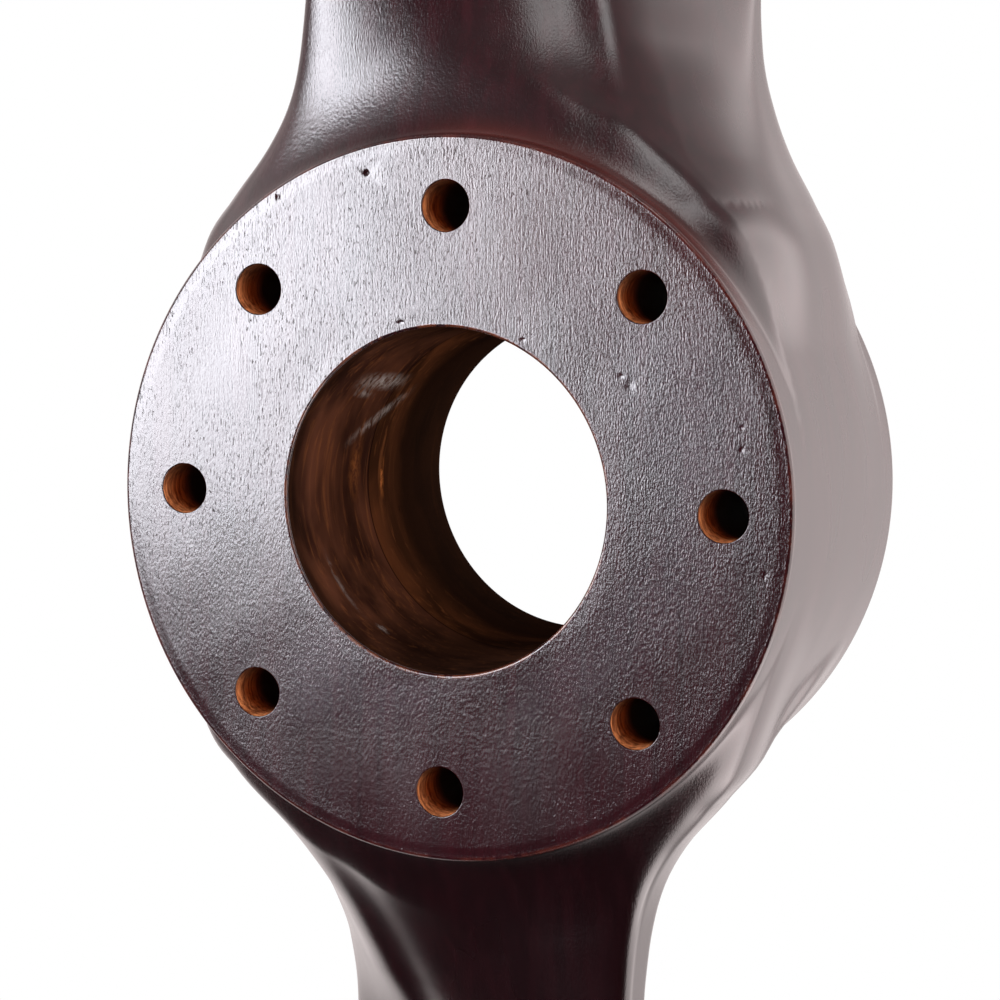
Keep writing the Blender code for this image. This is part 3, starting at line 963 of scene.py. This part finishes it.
def worn_rim(shader):
    """Where the front rim's edge is rubbed through to redder wood."""
    rim = shader.near(shader.radius, HUB_RADIUS - 0.0006, 0.0011)
    beside = shader.step(shader.depth, 0.0, 0.0022, 1.0, 0.0)
    broken = shader.step(shader.noise((160, 160, 160), detail=4, roughness=0.65), 0.4, 0.62)
    return shader.times(rim, beside, broken, 0.5)


def painted_root_shade(shader, on_face):
    """Painted shade on the root of the lower blade, and nothing of the front face."""
    off_face = shader.step(on_face, 0.0, 1.0, 1.0, 0.0)
    return shader.times(shader.step(shader.z, -0.09, -0.06, 0.6, 0.0), off_face)


def red_band(shader):
    """Beside the rim, where it meets the upper blade."""
    return shader.times(
        shader.near(shader.depth, 0.004, 0.006),
        shader.step(shader.z, 0.03, 0.07),
        shader.step(shader.radius, HUB_RADIUS, HUB_RADIUS + 0.010, 0.5, 0.0),
        shader.step(shader.x, -0.02, 0.01),
    )


def bore_lip(shader, on_face):
    """Where the bore's front edge is rubbed to bare wood."""
    lip = shader.near(shader.radius, BORE_RADIUS + 0.0003, 0.0009)
    broken = shader.step(shader.noise((200, 200, 200), detail=4, roughness=0.65), 0.4, 0.6)
    return shader.times(lip, on_face, broken, 0.3)


def lacquer_relief(shader, on_face, high_left, pores):
    """The lacquer's fine bumps, fibres and pores, fainter where the rounded edges turn away."""
    facing_front = shader.step(shader.facing("Y"), -0.93, -0.6, 1.0, 0.12)
    coarse = shader.math("MULTIPLY_ADD", on_face, -1.4, 1.4)
    coarse = shader.math("MAXIMUM", coarse, shader.step(high_left, -0.05, 0.05, 1.8, 0.85))
    peel = shader.noise((2500, 2500, 950), roughness=0.6)
    normal = shader.bump(shader.times(peel, coarse, facing_front), PEEL_DEPTH)
    fibres = shader.noise((1600, 1600, 110), detail=3, roughness=0.6)
    normal = shader.bump(shader.times(fibres, facing_front), FIBRE_DEPTH, normal)
    return shader.bump(shader.times(pores, -1.0), PORE_DEPTH, normal)


def lacquered_wood(name, tone):
    """Dark stained wood under satin lacquer that has sunk into the grain."""
    shader = Shader(name)
    on_face = shader.step(shader.depth, 0.0002, 0.0008, 1.0, 0.0)
    high_left = shader.math("SUBTRACT", shader.z, shader.times(shader.x, 0.8))
    pores = sunk_pores(shader, on_face, high_left)
    layers = (
        (shader.times(pores, 0.85), PORE_COLOUR),
        (worn_rim(shader), WORN_COLOUR),
        # painted shade on the lower blade's root
        (painted_root_shade(shader, on_face), PAINTED_SHADE_COLOUR),
        (red_band(shader), RED_COLOUR),
        (bore_lip(shader, on_face), LIP_COLOUR),
    )
    colour = stained_grain(shader, tone)
    for share, over in layers:
        colour = shader.mix(share, colour, over)
    shader.feed(shader.surface.inputs["Base Color"], colour)
    rough = shader.step(shader.noise((30, 30, 12), detail=3), 0.3, 0.7, *FACE_ROUGHNESS)
    duller = shader.math("MULTIPLY_ADD", on_face, -OFF_FACE_ROUGHNESS, OFF_FACE_ROUGHNESS)
    rough = shader.plus(shader.plus(rough, duller), shader.times(pores, PORE_ROUGHNESS))
    shader.feed(shader.surface.inputs["Roughness"], rough)
    shader.set_surface(LACQUER)
    normal = lacquer_relief(shader, on_face, high_left, pores)
    shader.feed(shader.surface.inputs["Normal"], normal)
    shader.feed(shader.surface.inputs["Coat Normal"], normal)
    return shader.material


def bore_marks(shader):
    """The share and the tone of each mark on the left of the bore's wall; the pale ones are painted
    highlights.
    """
    on_left = shader.step(shader.x, -0.02, 0.0, 1.0, 0.0)
    broken = shader.noise((500, 500, 260), detail=4, roughness=0.7, distortion=0.6, shift=8.0)
    broken = shader.step(broken, 0.36, 0.62)
    for z, depth, tall, long, slant, strength, tone in BORE_MARKS_MM:
        slope = shader.math("MULTIPLY_ADD", shader.depth, -slant, slant * depth / 1000)
        across = shader.near(shader.plus(shader.z, slope), z / 1000, tall / 1000)
        along = shader.near(shader.depth, depth / 1000, long / 1000)
        yield shader.times(across, along, on_left, broken, strength), tone


def bore_painted_shade(shader, patches):
    """Painted shade in the bore: darker on its top, bottom and right, by the front lip and towards the
    rear.
    """
    around = shader.math("ARCTAN2", shader.z, shader.times(shader.x, -1.0))
    around_shade = shader.step(shader.math("ABSOLUTE", around), 0.75, 1.4, 0.0, 0.8)
    front = shader.plus(shader.depth, shader.times(patches, 0.008))
    rear = shader.plus(shader.depth, shader.times(patches, 0.03))
    lip = shader.step(front, 0.006, 0.016, 0.75, 0.0)
    far = shader.step(rear, 0.062, 0.092, 0.0, 0.96)
    return shader.math("MAXIMUM", shader.math("MAXIMUM", around_shade, lip), far)


def bore_wood(name):
    """Turned bare wood inside the bore, with painted shade, its glue line, pale painted highlights and
    other marks.
    """
    shader = Shader(name)
    turned = shader.noise((40, 2600, 40), detail=3, roughness=0.6)
    streaks = shader.noise((260, 420, 22), detail=5, roughness=0.65, distortion=0.5)
    patches = shader.noise((45, 60, 30), detail=3, distortion=0.4, shift=4.0)
    lighter = shader.step(patches, 0.35, 0.65)
    glue_depth = HUB_DEPTH / 2
    rear_half = shader.step(shader.depth, glue_depth - 0.0002, glue_depth + 0.0002)
    colour = shader.mix(rear_half, shader.mix(lighter, *BORE_FRONT), shader.mix(lighter, *BORE_REAR))
    colour = shader.mix(shader.step(streaks, 0.5, 0.72, 0.0, 0.5), colour, BORE_STREAK)
    glue = shader.times(shader.near(shader.depth, glue_depth, 0.0006), 0.9)
    colour = shader.mix(glue, colour, GLUE_COLOUR)
    # painted shade inside the bore
    colour = shader.mix(bore_painted_shade(shader, patches), colour, BORE_SHADE_COLOUR)
    for share, tone in bore_marks(shader):
        colour = shader.mix(share, colour, tone)
    shader.feed(shader.surface.inputs["Base Color"], colour)
    shader.set_surface(BORE_FINISH)
    normal = shader.bump(turned, BORE_RELIEF)
    normal = shader.bump(streaks, BORE_RELIEF, normal)
    shader.feed(shader.surface.inputs["Normal"], normal)
    return shader.material


def hole_wood(name):
    """Bare drilled wood in the bolt holes, orange near the front, with painted shade farther in and on
    the wall's upper side.
    """
    shader = Shader(name)
    fibres = shader.noise((700, 900, 90), detail=4, roughness=0.65, distortion=0.3)
    colour = shader.mix(shader.step(fibres, 0.35, 0.65), HOLE_DARK, HOLE_LIGHT)
    reach = shader.plus(shader.depth, shader.times(fibres, 0.006))
    # painted shade farther into the hole
    colour = shader.mix(shader.step(reach, 0.010, 0.019), colour, HOLE_SHADE_COLOUR)
    # painted shade on the top of the wall, which faces down
    colour = shader.mix(shader.step(shader.facing("Z"), -0.8, 0.2, 0.85, 0.0), colour, HOLE_SHADE_COLOUR)
    shader.feed(shader.surface.inputs["Base Color"], colour)
    shader.set_surface(HOLE_FINISH)
    shader.feed(shader.surface.inputs["Normal"], shader.bump(fibres, HOLE_RELIEF))
    return shader.material


def pale_floor():
    """A plain pale disc under the lower blade's tip."""
    shader = Shader("pale_floor")
    colour = shader.mix(shader.noise((1.5, 1.5, 1.5)), (0.80, 0.80, 0.81), (0.84, 0.84, 0.84))
    shader.feed(shader.surface.inputs["Base Color"], colour)
    shader.set_surface({"Roughness": 0.7})
    bm = bmesh.new()
    bmesh.ops.create_circle(bm, cap_ends=True, segments=96, radius=FLOOR_RADIUS)
    mesh = bpy.data.meshes.new("floor")
    bm.to_mesh(mesh)
    bm.free()
    mesh.materials.append(shader.material)
    floor = bpy.data.objects.new("floor", mesh)
    floor.location = (0, -HUB_DEPTH / 2, -TIP_RADIUS - FLOOR_GAP)
    floor.visible_glossy = False
    bpy.context.scene.collection.objects.link(floor)
    floor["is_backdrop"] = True


def surroundings(nodes, right, back, up):
    """How bright the studio is in each direction."""
    strength = nodes.times(
        nodes.step(back, -0.4, -0.1, BEFORE, BEHIND),
        nodes.step(up, 0.55, 0.8, 1.0, 0.35),
    )
    strength = nodes.plus(strength, nodes.step(up, 0.45, 0.65, 0.0, ABOVE))
    strength = nodes.plus(strength, nodes.step(up, -0.86, -0.78, BELOW, 0.0))
    low_left = nodes.times(
        nodes.step(up, -0.15, 0.1, 1.0, 0.0),
        nodes.step(back, 0.15, 0.4, 1.0, 0.0),
        nodes.step(right, -0.1, 0.1, 1.0, 0.0),
    )
    strength = nodes.times(strength, nodes.math("MULTIPLY_ADD", low_left, LOW_LEFT_SHADE, 1.0))
    beside = nodes.step(back, -0.55, -0.3)
    on_right = nodes.times(
        nodes.step(right, 0.3, 0.65),
        nodes.step(up, 0.6, 0.82, RIGHT, 0.0),
        beside,
    )
    low_right = nodes.times(
        nodes.step(right, 0.35, 0.6),
        nodes.step(up, -0.6, -0.35, LOW_RIGHT, 0.0),
        nodes.step(back, 0.4, 0.6, 1.0, 0.0),
        beside,
    )
    on_left = nodes.times(
        nodes.step(right, -0.75, -0.55, LEFT, 0.0),
        nodes.step(up, 0.1, 0.35),
        nodes.step(back, -0.1, 0.1, 1.0, 0.0),
    )
    for patch in (on_right, low_right, on_left):
        strength = nodes.plus(strength, patch)
    return strength


def studio_world():
    """White behind and beside the part, dim on the camera's side, and plain white to the camera."""
    world = bpy.data.worlds.new("studio")
    bpy.context.scene.world = world
    world.use_nodes = True
    nodes = Nodes(world.node_tree)
    direction = nodes.node("ShaderNodeTexCoord").outputs["Generated"]
    right, back, up = nodes.node("ShaderNodeSeparateXYZ", Vector=direction).outputs
    seen = nodes.node("ShaderNodeLightPath").outputs["Is Camera Ray"]
    strength = nodes.blend(seen, surroundings(nodes, right, back, up), 1.0)
    background = nodes.tree.nodes["Background"]
    nodes.feed(background.inputs["Color"], nodes.mix(seen, WARM_WHITE, PURE_WHITE))
    nodes.feed(background.inputs["Strength"], strength)


def soft_light(name, place, size, power, colour):
    """A rectangle of light that faces the middle of the hub's front."""
    light = bpy.data.lights.new(name, "AREA")
    light.shape = "RECTANGLE"
    light.size, light.size_y = size
    light.energy = power
    light.color = colour
    obj = bpy.data.objects.new(name, light)
    obj.location = place
    away = Vector(place) - Vector((0, -HUB_DEPTH, 0))
    obj.rotation_euler = away.to_track_quat("Z", "Y").to_euler()
    obj.visible_camera = False
    bpy.context.scene.collection.objects.link(obj)


def camera():
    """The camera, fitted to the photograph's view of the hub."""
    data = bpy.data.cameras.new("camera")
    data.lens = CAMERA_LENS
    data.sensor_width = SENSOR_WIDTH
    data.clip_start = 0.01
    obj = bpy.data.objects.new("camera", data)
    turn = Matrix(CAMERA_AXES).transposed().to_4x4()
    obj.matrix_world = Matrix.Translation(CAMERA_PLACE) @ turn
    bpy.context.scene.collection.objects.link(obj)
    bpy.context.scene.camera = obj


def main():
    bpy.context.scene.view_settings.view_transform = "Standard"
    camera()
    surface = propeller_shell()
    bore, holes = bore_wood("bore_wood"), hole_wood("hole_wood")
    for index, tone in enumerate(BOARD_TONES):
        lacquered = lacquered_wood(BOARDS[index] + "_lacquered", tone)
        board_piece(index, surface, (lacquered, bore, holes))
    pale_floor()
    studio_world()
    for light in LIGHTS:
        soft_light(*light)
    boxes = [[list(corner) for corner in box] for box in (CAD_BOX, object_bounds())]


main()
